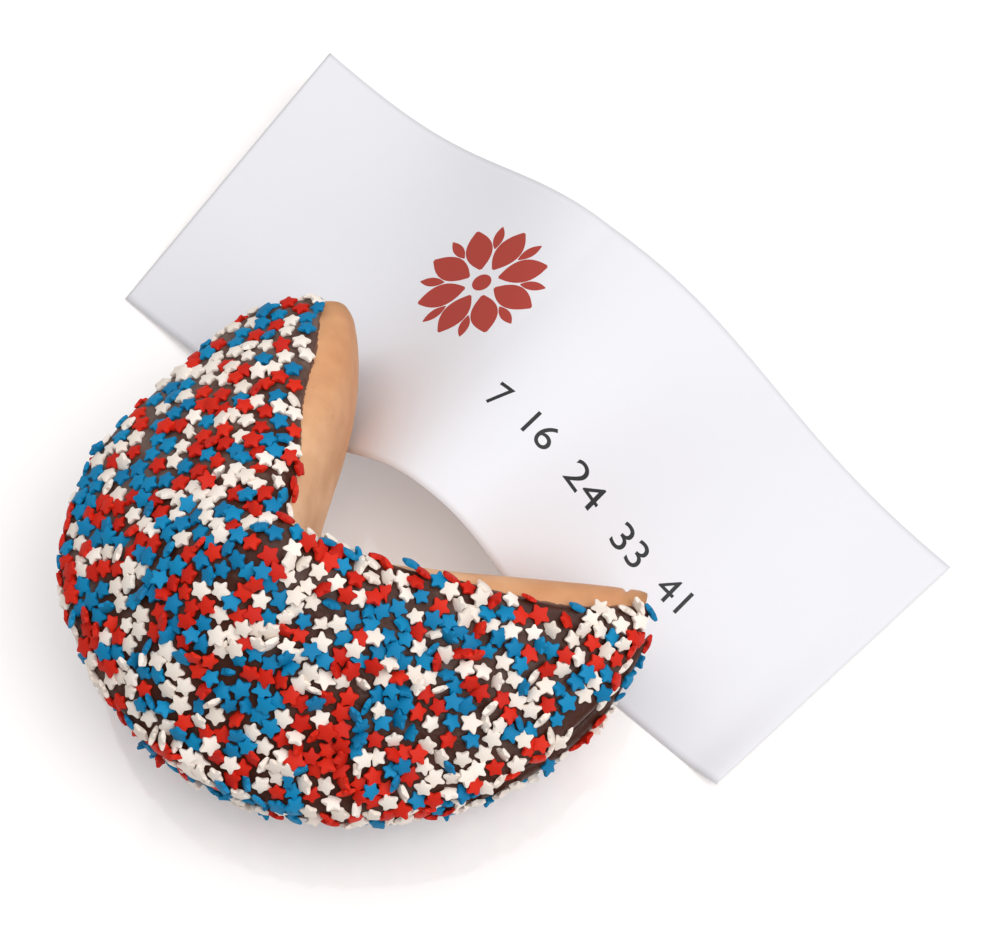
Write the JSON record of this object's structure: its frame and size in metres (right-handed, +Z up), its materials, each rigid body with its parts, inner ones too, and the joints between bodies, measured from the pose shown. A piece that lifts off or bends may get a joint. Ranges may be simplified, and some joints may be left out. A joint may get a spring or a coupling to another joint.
{
  "type": "fortune cookie",
  "caption": "Giant hollow folded fortune cookie, dipped in dark chocolate and covered in star sprinkles, lying across its wavy paper slip.",
  "frame": {"origin": "bottom centre of the bounding box, on the surface that the cookie and its slip lie on", "axes": "+Z up; the notch between the wings opens towards +X +Y, one wing along +Y and the other along +X"},
  "size_m": [0.2348, 0.2382, 0.074],
  "materials": {
    "wafer": "smooth baked biscuit, slightly satin",
    "chocolate": "satin dark chocolate",
    "paper": "plain uncoated paper",
    "red_sprinkle": "waxy pressed sugar",
    "white_sprinkle": "waxy pressed sugar",
    "blue_sprinkle": "waxy pressed sugar",
    "print": "thin flat red ink on paper",
    "ink": "thin flat black ink on paper"
  },
  "bodies": {
    "root": {"wafer_shell": "wafer", "chocolate_coat": "chocolate", "fortune_slip": "paper"}
  },
  "joints": []
}
